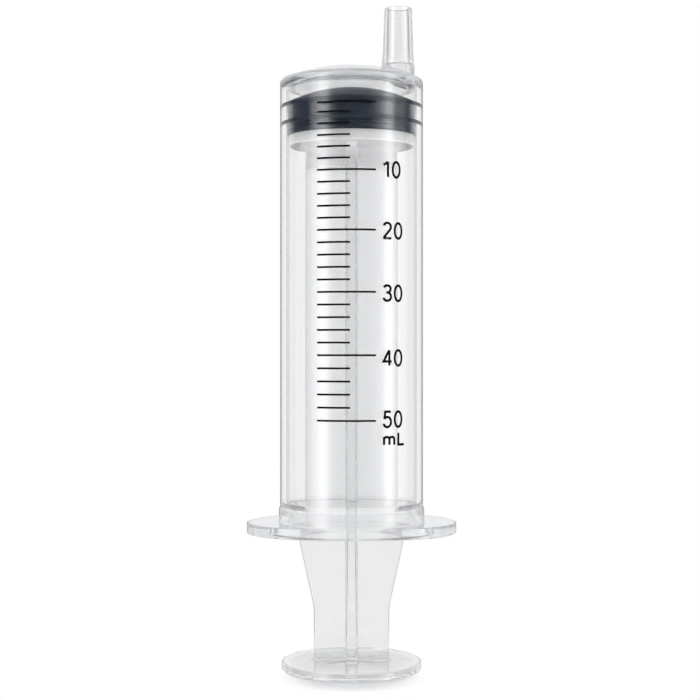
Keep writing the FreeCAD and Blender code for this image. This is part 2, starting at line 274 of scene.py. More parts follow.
def make_barrel():
    """Nozzle, domed end, wall, flange and bore as one closed mesh."""
    columns = barrel_columns()
    nozzle_axis = Vector((NOZZLE_OFFSET, 0))

    def about_nozzle(radius, height, tilt=0.0):
        return [
            (NOZZLE_OFFSET + radius * spoke.x, radius * spoke.y, height + tilt * radius * spoke.x)
            for spoke, _ in columns
        ]

    def about_axis(radius, height):
        return [(radius * side.x, radius * side.y, height) for _, side in columns]

    def across_end(near, far, share, height_at, lift=0.0):
        """A ring on the end, a share of the way from the nozzle's neck out to the wall."""
        ring = []
        for spoke, side in columns:
            place = (nozzle_axis + spoke * near).lerp(side * far, share)
            ring.append((place.x, place.y, height_at(place.length) + lift))
        return ring

    def on_flange(inset, height):
        return [
            (side.x * reach, side.y * reach, height)
            for _, side in columns
            for reach in [flange_reach(side, inset)]
        ]

    step_up = NECK_TOP - NECK_FALL / 2
    spout = rounded(
        [
            (THROAT, END_HEIGHT + THROAT_RUN, 0),
            (THROAT, step_up, THROAT_BEND),
            (SPOUT_BORE_BASE, step_up, SPOUT_ROOT),
            (SPOUT_BORE_TIP, NOZZLE_TIP, SPOUT_LIP),
            (NOZZLE_TIP_RADIUS, NOZZLE_TIP, TIP_BEND),
            (NOZZLE_BASE_RADIUS, NECK_TOP, LEDGE_BEND),
            (NECK_RADIUS, NECK_TOP, LEDGE_BEND),
            (NECK_RADIUS, NECK_TOP - NECK_FALL, 0),
        ]
    )
    rings = []
    for point in spout:
        on_ledge = point.x > NOZZLE_TIP_RADIUS and point.y < NECK_TOP + LEDGE_REACH
        tilt = -NECK_FALL / (2 * NECK_RADIUS) if on_ledge else 0.0
        rings.append(about_nozzle(point.x, point.y, tilt))

    # The neck's root sweeps out onto the dome
    for step in range(NECK_STEPS + 1):
        turn = math.pi / 2 * step / NECK_STEPS
        out = NECK_ROOT * (1 - math.cos(turn))
        lift = NECK_ROOT * (1 - math.sin(turn))
        rings.append(across_end(NECK_RADIUS + out, 0.0, 0.0, end_outside, lift))
    root = NECK_RADIUS + NECK_ROOT
    for step in range(1, END_STEPS + 1):
        rings.append(across_end(root, RIM, step / END_STEPS, end_outside))

    # Wall, collar and the flange's root
    outside = rounded(
        [
            (RIM, end_outside(RIM), 0),
            (BARREL_RADIUS, end_outside(RIM) - RIM_INSET * RIM_SLOPE, RIM_BEND),
            (BARREL_RADIUS, COLLAR_TOP + COLLAR_STEP, COLLAR_BEND),
            (COLLAR_RADIUS, COLLAR_TOP, COLLAR_BEND),
            (COLLAR_RADIUS, FLANGE_TOP, FLANGE_ROOT),
            (COLLAR_RADIUS + FLANGE_ROOT_RUN, FLANGE_TOP, 0),
        ]
    )
    rings += [about_axis(point.x, point.y) for point in outside[1:]]

    # The flange's rim
    edge = rounded(
        [
            (FLANGE_EDGE_RUN, FLANGE_TOP, 0),
            (0, FLANGE_TOP, FLANGE_EDGE),
            (0, MOUTH, FLANGE_EDGE),
            (FLANGE_EDGE_RUN, MOUTH, 0),
        ]
    )
    rings += [on_flange(point.x, point.y) for point in edge]

    # Mouth, bead and bore
    inside = rounded(
        [
            (BORE + MOUTH_RUN, MOUTH, 0),
            (BORE, MOUTH, MOUTH_BEND),
            (BEAD_CREST + BEAD_LEAD_RISE, BEAD - BEAD_LEAD, BEAD_FOOT_BEND),
            (BEAD_CREST, BEAD, BEAD_BEND),
            (BORE, BEAD + BEAD_FALL, BEAD_FOOT_BEND),
            (BORE, END_HEIGHT, END_BEND),
            (INNER_RIM, END_HEIGHT, 0),
        ]
    )
    rings += [about_axis(point.x, point.y) for point in inside]

    # Inner face of the end, in to the throat
    for step in range(1, INNER_STEPS + 1):
        rings.append(across_end(THROAT + THROAT_BEND, INNER_RIM, 1 - step / INNER_STEPS, end_inside))
    for out, lift in ((THROAT_MID_BEND, THROAT_MID_BEND), (0.0, THROAT_BEND)):
        rings.append(across_end(THROAT + out, INNER_RIM, 0.0, end_inside, lift))
    return loft("barrel_shell", rings, closed=True)


barrel = make_barrel()

# Gasket

GASKET_FOOT = gasket_low.z
GASKET_SHOULDER = GASKET_FOOT + 7.4
GASKET_APEX = gasket_high.z
SHELL = 14.65
LIP = 14.9
LIP_GROOVE = 14.45
SEAL = BORE + 0.05
SEAL_HALF = 0.4
SEAL_HEIGHTS = (2.6, 6.65)
SOCKET_TOP = GASKET_FOOT + 5.8
SOCKET_RADIUS = 5.7
SOCKET_MOUTH = 5.1

# Bends and short runs of the gasket's profile

SEAL_FALL = 0.35
SEAL_BEND = 0.25
SHELL_BEND = 0.15
LIP_BEND = 0.3
LIP_TOP = 1.0
LIP_TOP_BEND = 0.2
GROOVE_FOOT = 1.35
GROOVE_TOP = 1.75
SOCKET_MIDDLE = 0.4
SHARP_BEND = 0.1
FACE_RADIUS = SHELL - 1.0
FACE_STEPS = 24


def make_gasket():
    """Rubber gasket: foot, lip, two sealing ribs and a domed face."""
    low, high = (GASKET_FOOT + height for height in SEAL_HEIGHTS)
    rise = GASKET_APEX - GASKET_SHOULDER
    radius = (SHELL**2 + rise**2) / (2 * rise)
    profile = rounded(
        [
            (SOCKET_MIDDLE, SOCKET_TOP, 0),
            (SOCKET_RADIUS, SOCKET_TOP, SHARP_BEND),
            (SOCKET_MOUTH, GASKET_FOOT, SHARP_BEND),
            (LIP, GASKET_FOOT, LIP_BEND),
            (LIP, GASKET_FOOT + LIP_TOP, LIP_TOP_BEND),
            (LIP_GROOVE, GASKET_FOOT + GROOVE_FOOT, SHARP_BEND),
            (LIP_GROOVE, GASKET_FOOT + GROOVE_TOP, SHARP_BEND),
            (SEAL, low - SEAL_HALF, SEAL_BEND),
            (SEAL, low + SEAL_HALF, SEAL_BEND),
            (SHELL, low + SEAL_HALF + SEAL_FALL, SHELL_BEND),
            (SHELL, high - SEAL_HALF - SEAL_FALL, SHELL_BEND),
            (SEAL, high - SEAL_HALF, SEAL_BEND),
            (SEAL, high + SEAL_HALF, SEAL_BEND),
            (SHELL, GASKET_SHOULDER, SHELL_BEND),
            (FACE_RADIUS, dome(radius, GASKET_APEX, FACE_RADIUS), 0),
        ]
    )
    for step in range(1, FACE_STEPS):
        across = FACE_RADIUS * (1 - step / FACE_STEPS)
        profile.append(Vector((across, dome(radius, GASKET_APEX, across))))
    return turned("gasket_rubber_seal", profile)


gasket = make_gasket()

# Plunger rod: its rings follow the cross of the four fins, whose columns also cross the discs

THUMB_RADIUS = rod_high.x
THUMB_TOP = rod_low.z + 2.0
FIN_HALF = 1.15
FIN_HALF_WIDTH = 10.55
FIN_EDGE = 0.45
FIN_ROOT = 0.3
FIN_FOOT = 0.55
WAIST_HALF_WIDTH = 8.65
WAIST_HALF_DEPTH = 5.6
WAIST_TOP = 14.2
SHOULDER_HALF_WIDTH = 12.2
SHOULDER_FOOT = 30.5
SHOULDER_TOP = 32.4
SHOULDER_FALL = 1.2
DISC_TOP = GASKET_FOOT - 0.05
DISC_FOOT = DISC_TOP - 2.5
DISC_RADIUS = 14.4
STEM_RADIUS = 5.0
BARB_FOOT = DISC_TOP + 2.0
BARB_RADIUS = 6.8
BARB_TIP_RADIUS = 5.6
BARB_TOP = rod_high.z
RIB_FIELD_RADIUS = 14.2
RIB_PITCH = 2.2
GROOVE_WIDTH = 1.1
GROOVE_DEPTH = 0.5

# Bends and short runs of the rod's profiles

WAIST_BEND = 14
SHOULDER_BEND = 2
SHOULDER_EDGE = 0.4
SHOULDER_ROOT = 0.6
DEPTH_BEND = 4
DISC_EDGE = 0.3
DISC_TOP_EDGE = 0.2
THUMB_FOOT_EDGE = 0.25
THUMB_EDGE = 0.3
CAP_RADIUS = 0.5
FACE_RUN = 1.0
ROOT_RUN = 1.2
FIN_RUN = 3.0
FIN_EDGE_STEPS = 4
FIN_ROOT_STEPS = 2
FIN_COLUMN_REACH = 7.6
FIN_COLUMN_ANGLES = (11, 13.5, 16, 19, 22, 25, 28)


def half_at(table, height):
    """The half width of a fin at a height, from its edge's points (half width, height)."""
    for low, high in zip(table, table[1:]):
        if height <= high.y:
            share = max(0.0, (height - low.y) / (high.y - low.y))
            return low.x + (high.x - low.x) * share
    return table[-1].x


def arm_columns(width):
    """One fin's side of the cross, from its middle line out to the next root: (along, beside)."""
    start = width - FIN_EDGE
    inner = FIN_HALF - FIN_EDGE
    points = [Vector((width, 0.0)), Vector((width, inner - GUARD))]
    for step in range(FIN_EDGE_STEPS + 1):
        turn = math.pi / 2 * step / FIN_EDGE_STEPS
        points.append(Vector((start + FIN_EDGE * math.cos(turn), inner + FIN_EDGE * math.sin(turn))))
    points.append(Vector((start - GUARD, FIN_HALF)))
    root = FIN_HALF + FIN_ROOT
    for angle in FIN_COLUMN_ANGLES:
        along = FIN_HALF / math.tan(math.radians(angle))
        share = (along - root) / (FIN_COLUMN_REACH - root)
        points.append(Vector((root + (start - root) * share, FIN_HALF)))
    points.append(Vector((root + GUARD, FIN_HALF)))
    for step in range(FIN_ROOT_STEPS + 1):
        turn = math.pi / 4 * step / FIN_ROOT_STEPS
        points.append(Vector((root - FIN_ROOT * math.sin(turn), root - FIN_ROOT * math.cos(turn))))
    return points


# Angles of a disc's columns in degrees, one for each point of arm_columns

ARM_ANGLES = (
    0, 1.5, 2.8, 3.8, 4.8, 5.9, 7.1, 9.5, 12.5, 15.5, 18.5, 22, 25.5, 29, 32.5, 36, 39, 42, 45,
)


def cross_ring(width, depth, grow, height):
    """The outline of the four fins at a height, grown outward by grow."""
    ring = []
    for quarter in range(4):
        ahead, beside = (width, depth) if quarter % 2 == 0 else (depth, width)
        first = arm_columns(ahead)
        second = arm_columns(beside)
        corner = first + [Vector((point.y, point.x)) for point in reversed(second[1:-1])]
        cosine, sine = ((1, 0), (0, 1), (-1, 0), (0, -1))[quarter]
        for point in corner:
            across = point.x * cosine - point.y * sine
            along = point.x * sine + point.y * cosine
            ring.append(Vector((across, along)))
    if grow:
        count = len(ring)
        outward = []
        for place in range(count):
            way = ring[(place + 1) % count] - ring[place - 1]
            outward.append(Vector((way.y, -way.x)).normalized())
        ring = [point + push * grow for point, push in zip(ring, outward)]
    return [(point.x, point.y, height) for point in ring]


def round_ring(radius, height):
    """A circle with the same columns as the cross."""
    angles = [quarter * 90 + angle for quarter in range(4) for angle in ARM_ANGLES]
    angles += [quarter * 90 + 90 - angle for quarter in range(4) for angle in ARM_ANGLES[1:-1]]
    angles = sorted(set(angles))
    return [
        (radius * math.cos(math.radians(angle)), radius * math.sin(math.radians(angle)), height)
        for angle in angles
    ]


def make_rod():
    """Thumb press, fins, head disc and barb as one closed mesh."""
    wide = rounded(
        [
            (WAIST_HALF_WIDTH, THUMB_TOP, 0),
            (WAIST_HALF_WIDTH, WAIST_TOP, WAIST_BEND),
            (SHOULDER_HALF_WIDTH, SHOULDER_FOOT, SHOULDER_BEND),
            (SHOULDER_HALF_WIDTH, SHOULDER_TOP, SHOULDER_EDGE),
            (FIN_HALF_WIDTH, SHOULDER_TOP + SHOULDER_FALL, SHOULDER_ROOT),
            (FIN_HALF_WIDTH, DISC_FOOT, 0),
        ]
    )
    deep = rounded(
        [
            (WAIST_HALF_DEPTH, THUMB_TOP, 0),
            (WAIST_HALF_DEPTH, WAIST_TOP, WAIST_BEND),
            (FIN_HALF_WIDTH, SHOULDER_FOOT, DEPTH_BEND),
            (FIN_HALF_WIDTH, DISC_FOOT, 0),
        ]
    )
    foot = rounded(
        [
            (CAP_RADIUS, rod_low.z, 0),
            (THUMB_RADIUS, rod_low.z, THUMB_FOOT_EDGE),
            (THUMB_RADIUS, THUMB_TOP, THUMB_EDGE),
            (THUMB_RADIUS - FACE_RUN, THUMB_TOP, 0),
        ]
    )
    rings = [round_ring(point.x, point.y) for point in foot]

    # Profiles of (growth, height) where the fins meet the thumb press and the head disc
    low_root = [(ROOT_RUN, THUMB_TOP, 0), (0, THUMB_TOP, FIN_FOOT), (0, THUMB_TOP + FIN_RUN, 0)]
    high_root = [(0, DISC_FOOT - FIN_RUN, 0), (0, DISC_FOOT, DISC_EDGE), (ROOT_RUN, DISC_FOOT, 0)]
    low_root, high_root = rounded(low_root)[1:-1], rounded(high_root)[1:-1]
    for point in low_root:
        rings.append(cross_ring(WAIST_HALF_WIDTH, WAIST_HALF_DEPTH, point.x, point.y))
    heights = sorted({round(point.y, 3) for point in wide + deep})
    for height in heights:
        if low_root[-1].y < height < high_root[0].y:
            rings.append(cross_ring(half_at(wide, height), half_at(deep, height), 0, height))
    for point in high_root:
        rings.append(cross_ring(FIN_HALF_WIDTH, FIN_HALF_WIDTH, point.x, point.y))
    head = rounded(
        [
            (DISC_RADIUS - ROOT_RUN, DISC_FOOT, 0),
            (DISC_RADIUS, DISC_FOOT, DISC_EDGE),
            (DISC_RADIUS, DISC_TOP, DISC_TOP_EDGE),
            (STEM_RADIUS, DISC_TOP, SHARP_BEND),
            (STEM_RADIUS, BARB_FOOT, SHARP_BEND),
            (BARB_RADIUS, BARB_FOOT, SHARP_BEND),
            (BARB_TIP_RADIUS, BARB_TOP, DISC_EDGE),
            (CAP_RADIUS, BARB_TOP, 0),
        ]
    )
    rings += [round_ring(point.x, point.y) for point in head]
    moulding = loft("plunger_moulding", rings)

    # Grip grooves across the thumb press, each cut short by the round rib field
    cutter = bmesh.new()
    half = GROOVE_WIDTH / 2
    copies = int((RIB_FIELD_RADIUS - half - FACE_RUN) / RIB_PITCH)
    for copy in range(-copies, copies + 1):
        middle = copy * RIB_PITCH
        reach = math.sqrt(RIB_FIELD_RADIUS**2 - (abs(middle) + half) ** 2)
        size = Vector((2 * reach, GROOVE_WIDTH, 2 * GROOVE_DEPTH)) * MM
        place = Matrix.Translation(Vector((0, middle, rod_low.z)) * MM)
        bmesh.ops.create_cube(cutter, size=1, matrix=place @ Matrix.Diagonal((*size, 1)))
    cut_away(moulding, cutter)
    return moulding


rod = make_rod()

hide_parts("barrel")
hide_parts("gasket")
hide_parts("plunger_rod")


# Materials


def new_material(name, **sockets):
    """A material with one Principled shader, its sockets set by name."""
    material = bpy.data.materials.new(name)
    material.use_nodes = True
    shader = material.node_tree.nodes["Principled BSDF"]
    for socket, value in sockets.items():
        shader.inputs[socket.replace("_", " ")].default_value = value
    return material, material.node_tree, shader


def feed(tree, value, socket):
    """Link another node's output to a socket, or set the socket to a number."""
    if isinstance(value, bpy.types.NodeSocket):
        tree.links.new(value, socket)
    else:
        socket.default_value = value


def calculate(tree, operation, *values):
    """The result of a Math node."""
    node = tree.nodes.new("ShaderNodeMath")
    node.operation = operation
    for value, socket in zip(values, node.inputs):
        feed(tree, value, socket)
    return node.outputs[0]


def spread(tree, source, start, end, low=0.0, high=1.0, smooth=False):
    """Carry a value from one span to another, held at both ends."""
    span = tree.nodes.new("ShaderNodeMapRange")
    if smooth:
        span.interpolation_type = "SMOOTHSTEP"
    span.inputs["From Min"].default_value = start
    span.inputs["From Max"].default_value = end
    span.inputs["To Min"].default_value = low
    span.inputs["To Max"].default_value = high
    tree.links.new(source, span.inputs["Value"])
    return span.outputs["Result"]


def blend(tree, factor, first, second):
    """A value between two others."""
    mix = tree.nodes.new("ShaderNodeMix")
    for name, value in (("Factor", factor), ("A", first), ("B", second)):
        feed(tree, value, mix.inputs[name])
    return mix.outputs["Result"]


def mix_shaders(tree, factor, first, second):
    """A shader between two others."""
    mix = tree.nodes.new("ShaderNodeMixShader")
    for place, value in enumerate((factor, first, second)):
        tree.links.new(value, mix.inputs[place])
    return mix.outputs["Shader"]


def link_noise(tree, scale, detail, stretch=(1, 1, 1)):
    """A noise that is fixed to the piece, stretched along its axes."""
    place = tree.nodes.new("ShaderNodeTexCoord")
    mapping = tree.nodes.new("ShaderNodeMapping")
    mapping.inputs["Scale"].default_value = stretch
    noise = tree.nodes.new("ShaderNodeTexNoise")
    noise.inputs["Scale"].default_value = scale
    noise.inputs["Detail"].default_value = detail
    tree.links.new(place.outputs["Object"], mapping.inputs["Vector"])
    tree.links.new(mapping.outputs["Vector"], noise.inputs["Vector"])
    return noise


def link_range(tree, source, socket, low, high, start=0.3, end=0.7):
    """Carry the middle of a 0 to 1 value to a socket as low to high."""
    tree.links.new(spread(tree, source, start, end, low, high), socket)


def link_ramp(tree, source, socket, stops):
    """Carry a 0 to 1 value to a colour socket through a ramp of (place, colour) stops."""
    ramp = tree.nodes.new("ShaderNodeValToRGB")
    elements = ramp.color_ramp.elements
    while len(elements) < len(stops):
        elements.new(1.0)
    for element, (place, colour) in zip(elements, stops):
        element.position = place
        element.color = (*colour, 1)
    tree.links.new(source, ramp.inputs["Fac"])
    tree.links.new(ramp.outputs["Color"], socket)


def link_heights(tree, socket, stops):
    """Set a socket by height on the piece, through (height in mm, value) stops."""
    place = tree.nodes.new("ShaderNodeTexCoord")
    axes = tree.nodes.new("ShaderNodeSeparateXYZ")
    tree.links.new(place.outputs["Object"], axes.inputs["Vector"])
    top = stops[-1][0]
    share = spread(tree, axes.outputs["Z"], 0, top * MM)
    link_ramp(tree, share, socket, [(height / top, (value,) * 3) for height, value in stops])


def link_tint(tree, socket, stops):
    """Multiply what reaches a colour socket by a factor by height. Returns the colour's own input."""
    tint = tree.nodes.new("ShaderNodeVectorMath")
    tint.operation = "MULTIPLY"
    tree.links.new(tint.outputs["Vector"], socket)
    link_heights(tree, tint.inputs[1], stops)
    return tint.inputs[0]


def link_bump(tree, shader, source, strength):
    """Raise the surface a little by a value."""
    bump = tree.nodes.new("ShaderNodeBump")
    bump.inputs["Strength"].default_value = strength
    bump.inputs["Distance"].default_value = GRAIN_HEIGHT
    tree.links.new(source, bump.inputs["Height"])
    tree.links.new(bump.outputs["Normal"], shader.inputs["Normal"])


def facing_of(tree):
    """0 where a surface faces the eye and 1 where it turns away, which drives the painted grey edges
    of the clear plastic.
    """
    weight = tree.nodes.new("ShaderNodeLayerWeight")
    weight.inputs["Blend"].default_value = 0.5
    return weight.outputs["Facing"]


def link_absorption(tree, colour, density):
    """Dim light a little on its way through the plastic, most where it is thick."""
    volume = tree.nodes.new("ShaderNodeVolumeAbsorption")
    volume.inputs["Color"].default_value = (*colour, 1)
    volume.inputs["Density"].default_value = density
    tree.links.new(volume.outputs["Volume"], tree.nodes["Material Output"].inputs["Volume"])


# How clear each part of a moulding is, from 0 for milky to 1, and how dark its tint is; the rim
# factors are painted shade on the rod's head disc under the gasket

FLANGE_CLARITY = 0.8
END_CLARITY = 0.76
NOZZLE_CLARITY = 0.95
NOZZLE_TINT = 0.93
FIN_CLARITY = 0.9
THUMB_CLARITY = 0.75
HEAD_CLARITY = 0.05
# Painted shade: these darken the head disc's rim toward the gasket that sits on it
RIM_FOOT_PAINTED_SHADE = 0.8
RIM_PAINTED_SHADE = 0.75
RIM_TOP_PAINTED_SHADE = 0.6
GRAIN_HEIGHT = 0.02 * MM


def clear_plastic():
    """Polished clear polypropylene, with painted shade that greys its colour where the surface turns
    away from the eye.
    """
    material, tree, shader = new_material("clear_barrel_plastic", IOR=1.49)
    end = END_HEIGHT
    stops = [(0, FLANGE_CLARITY), (BEAD + 0.6, FLANGE_CLARITY), (BEAD + 1.8, 1.0)]
    stops += [(end, 1.0), (end + 0.8, END_CLARITY), (NECK_TOP, END_CLARITY)]
    stops += [(NECK_TOP + 1, NOZZLE_CLARITY), (NOZZLE_TIP, NOZZLE_CLARITY)]
    link_heights(tree, shader.inputs["Transmission Weight"], stops)
    tints = [(0, 1.0), (NECK_TOP, 1.0), (NECK_TOP + 1, NOZZLE_TINT), (NOZZLE_TIP, NOZZLE_TINT)]
    # Painted shade: the base colour turns grey-blue toward edges seen edge on, standing in for the
    # dark edge lines of clear plastic
    link_ramp(
        tree,
        facing_of(tree),
        link_tint(tree, shader.inputs["Base Color"], tints),
        [
            (0.0, (0.99, 0.991, 0.993)),
            (0.65, (0.98, 0.983, 0.987)),
            (0.85, (0.78, 0.8, 0.83)),
            (1.0, (0.5, 0.53, 0.58)),
        ],
    )
    link_absorption(tree, (0.82, 0.85, 0.88), 25)
    flow = link_noise(tree, 90, 3, (1, 1, 0.12))
    link_range(tree, flow.outputs["Fac"], shader.inputs["Roughness"], 0.01, 0.04)
    link_bump(tree, shader, flow.outputs["Fac"], 0.02)
    return material


def milky_plastic():
    """Natural polypropylene of the rod: see-through but cloudy."""
    material, tree, shader = new_material("milky_rod_plastic", IOR=1.49)
    stops = [(0, THUMB_CLARITY), (THUMB_TOP, THUMB_CLARITY), (THUMB_TOP + 1, FIN_CLARITY)]
    stops += [(DISC_FOOT - 6, FIN_CLARITY), (DISC_FOOT - 0.5, HEAD_CLARITY), (BARB_TOP, HEAD_CLARITY)]
    link_heights(tree, shader.inputs["Transmission Weight"], stops)
    # Painted shade: the base colour darkens up the head disc's rim toward the dark gasket above it
    tints = [(0, 1.0), (DISC_FOOT + 0.1, 1.0), (DISC_FOOT + 0.4, RIM_FOOT_PAINTED_SHADE)]
    tints += [(DISC_FOOT + 1.4, RIM_PAINTED_SHADE), (DISC_TOP - 0.1, RIM_TOP_PAINTED_SHADE), (BARB_TOP, RIM_TOP_PAINTED_SHADE)]
    cloud = link_noise(tree, 60, 4, (1, 1, 0.25))
    link_ramp(
        tree,
        cloud.outputs["Fac"],
        link_tint(tree, shader.inputs["Base Color"], tints),
        [(0.3, (0.91, 0.912, 0.918)), (0.7, (0.935, 0.937, 0.942))],
    )
    link_absorption(tree, (0.85, 0.862, 0.87), 45)
    link_range(tree, cloud.outputs["Fac"], shader.inputs["Roughness"], 0.03, 0.06)
    link_bump(tree, shader, cloud.outputs["Fac"], 0.02)
    return material


def dark_rubber():
    """Blue-grey rubber with a lubricant's satin sheen."""
    material, tree, shader = new_material("gasket_dark_rubber", IOR=1.5)
    cloud = link_noise(tree, 300, 4)
    link_ramp(
        tree,
        cloud.outputs["Fac"],
        shader.inputs["Base Color"],
        [(0.3, (0.015, 0.024, 0.040)), (0.7, (0.022, 0.033, 0.052))],
    )
    shader.inputs["Specular IOR Level"].default_value = 0.4
    link_range(tree, cloud.outputs["Fac"], shader.inputs["Roughness"], 0.3, 0.42)
    grain = link_noise(tree, 4000, 2)
    link_bump(tree, shader, grain.outputs["Fac"], 0.08)
    return material


def black_ink():
    """Screen-printed ink, a little uneven."""
    material, tree, shader = new_material("scale_ink", IOR=1.5)
    cover = link_noise(tree, 3000, 3)
    link_ramp(
        tree,
        cover.outputs["Fac"],
        shader.inputs["Base Color"],
        [(0.3, (0.003, 0.003, 0.004)), (0.7, (0.008, 0.008, 0.009))],
    )
    link_range(tree, cover.outputs["Fac"], shader.inputs["Roughness"], 0.5, 0.7)
    shader.inputs["Specular IOR Level"].default_value = 0.02
    return material


def finish_piece(piece, material, body):
    """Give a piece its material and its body."""
    piece.data.materials.append(material)
    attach(piece, body)


finish_piece(barrel, clear_plastic(), "barrel")
finish_piece(gasket, dark_rubber(), "gasket")
finish_piece(rod, milky_plastic(), "plunger")


# Printed scale: strokes of ink wrapped round the front of the barrel

INK_OUT = BARREL_RADIUS + 0.03
INK_IN = BARREL_RADIUS - 0.02
INK = black_ink()
TICK_LEFT = -7.92
TICK_SHORT_RIGHT = -0.33
TICK_LONG_RIGHT = 5.45
TICK_HALF = 0.215
ZERO_HALF = 0.22
TICK_STEPS = 12
MARKS = 26
MARKS_PER_TEN = 5


def wrapped(across, height, radius):
    """A point of the flat print, laid round the barrel."""
    turn = across / BARREL_RADIUS
    return Vector((radius * math.sin(turn), -radius * math.cos(turn), height))


def add_stroke(shell, line, half, closed=False):
    """A flat stroke of even width along a line of (across, height) points, wrapped as ink."""
    count = len(line)
    corners = []
    for place, point in enumerate(line):
        before = line[place - 1] if place or closed else point
        after = line[(place + 1) % count] if place < count - 1 or closed else point
        ways = [way.normalized() for way in (point - before, after - point) if way.length > 1e-6]
        way = sum(ways, Vector((0, 0))).normalized()
        stretch = 1 / max(0.5, way.dot(ways[0]))
        push = Vector((-way.y, way.x)) * half * stretch
        corners.append((point + push, point - push))
    loops = []
    for left, right in corners:
        around = ((left, INK_OUT), (right, INK_OUT), (right, INK_IN), (left, INK_IN))
        loops.append([shell.verts.new(wrapped(*place, radius) * MM) for place, radius in around])
    for place in range(count if closed else count - 1):
        near, far = loops[place], loops[(place + 1) % count]
        for side in range(4):
            beside = (side + 1) % 4
            shell.faces.new((near[side], near[beside], far[beside], far[side]))
    if not closed:
        shell.faces.new(loops[0])
        shell.faces.new(tuple(reversed(loops[-1])))


def print_piece(name, strokes):
    """Add a piece of print made of strokes of (points, half width, closed)."""
    shell = bmesh.new()
    for line, half, closed in strokes:
        add_stroke(shell, [Vector(point) for point in line], half, closed)
    bmesh.ops.recalc_face_normals(shell, faces=shell.faces)
    mesh = bpy.data.meshes.new(name)
    shell.to_mesh(mesh)
    shell.free()
    piece = bpy.data.objects.new(name, mesh)
    bpy.context.scene.collection.objects.link(piece)
    finish_piece(piece, INK, "barrel")


# Heights of the lines for 0, 10, 20, 30, 40 and 50 mL, and of the long one above them

TENS_HEIGHTS = (125.75, 112.95, 99.7, 86.0, 72.05, 57.6)
TOP_LINE_HEIGHT = 127.85


def scale_height(tens):
    """Height of a mark, given in tens of mL."""
    below = min(int(tens), len(TENS_HEIGHTS) - 2)
    share = tens - below
    return TENS_HEIGHTS[below] * (1 - share) + TENS_HEIGHTS[below + 1] * share


def make_marks():
    """Add the lines of the scale: one for each 2 mL, the tens long, and a long one above zero."""
    lines = [(TOP_LINE_HEIGHT, TICK_LONG_RIGHT, TICK_HALF)]
    for mark in range(MARKS):
        right = TICK_LONG_RIGHT if mark and mark % MARKS_PER_TEN == 0 else TICK_SHORT_RIGHT
        half = TICK_HALF if mark else ZERO_HALF
        lines.append((scale_height(mark / MARKS_PER_TEN), right, half))
    strokes = []
    for height, right, half in lines:
        run = right - TICK_LEFT
        points = [(TICK_LEFT + run * step / TICK_STEPS, height) for step in range(TICK_STEPS + 1)]
        strokes.append((points, half, False))
    print_piece("scale_lines", strokes)


make_marks()


# Numerals: each is a few strokes inside a box one wide and one high

NUMERAL_HALF = 0.28
NUMERAL_WIDTH = 1.97
NUMERAL_HEIGHT = 3.4
NUMERAL_LEFT = 7.3
NUMERAL_STEP = 2.9
ONE_STEP = 2.35
NUMERAL_SHIFTS = (0.19, -0.09, -0.22, -0.61, 0.26)
UNIT_HEIGHT = 51.95
UNIT_LETTERS = (("m", 7.4, 2.68, 1.74), ("L", 11.25, 1.68, 2.6))


def arc(middle, reach, start, end, steps=14):
    """Points along part of an ellipse, its angles in degrees."""
    (across, height), (wide, high) = middle, reach
    turns = [math.radians(start + (end - start) * step / steps) for step in range(steps + 1)]
    return [(across + wide * math.cos(turn), height + high * math.sin(turn)) for turn in turns]


ROUND = (arc((0.5, 0.5), (0.5, 0.5), 0, 350, 35), True)
GLYPHS = {
    "0": [ROUND],
    "1": [([(0.56, 1), (0.56, 0)], False), ([(0.0, 0.77), (0.28, 0.86), (0.5, 0.99)], False)],
    "2": [
        (arc((0.48, 0.73), (0.46, 0.27), 165, -30) + [(0.55, 0.38), (0.02, 0.03)], False),
        ([(-0.06, 0), (1, 0)], False),
    ],
    "3": [
        (arc((0.46, 0.77), (0.44, 0.23), 160, -80) + [(0.36, 0.53)], False),
        (arc((0.46, 0.27), (0.5, 0.27), 85, -165), False),
    ],
    "4": [([(0.7, 1), (0, 0.27), (1.04, 0.27)], False), ([(0.74, 1), (0.74, 0)], False)],
    "5": [
        ([(0.92, 1), (0.2, 1), (0.1, 0.52)], False),
        (arc((0.46, 0.33), (0.5, 0.33), 138, -160), False),
    ],
    "m": [
        ([(0, 1), (0, 0)], False),
        (arc((0.26, 0.7), (0.25, 0.3), 165, 0) + [(0.51, 0)], False),
        (arc((0.76, 0.7), (0.24, 0.3), 165, 0) + [(1, 0)], False),
    ],
    "L": [([(0, 1), (0, 0), (1, 0)], False)],
}


def glyph_strokes(letter, left, foot, width, height):
    """A letter's strokes with its box at a place on the barrel."""
    strokes = []
    for line, closed in GLYPHS[letter]:
        points = [(left + x * width, foot + y * height) for x, y in line]
        strokes.append((points, NUMERAL_HALF, closed))
    return strokes


def make_numerals():
    """Add 10 to 50 beside the long lines, and the unit below them."""
    strokes = []
    for tens, shift in enumerate(NUMERAL_SHIFTS, start=1):
        foot = scale_height(tens) + shift - NUMERAL_HEIGHT / 2
        last = NUMERAL_LEFT + (NUMERAL_STEP if tens > 1 else ONE_STEP)
        strokes += glyph_strokes(str(tens), NUMERAL_LEFT, foot, NUMERAL_WIDTH, NUMERAL_HEIGHT)
        strokes += glyph_strokes("0", last, foot, NUMERAL_WIDTH, NUMERAL_HEIGHT)
    foot = UNIT_HEIGHT + NUMERAL_HALF
    for letter, left, width, height in UNIT_LETTERS:
        strokes += glyph_strokes(letter, left, foot, width, height)
    print_piece("scale_numerals", strokes)


make_numerals()


# Camera, floor and light

CAMERA = Vector((-0.35, -358.0, 73.2)) * MM
LENS = 80.0


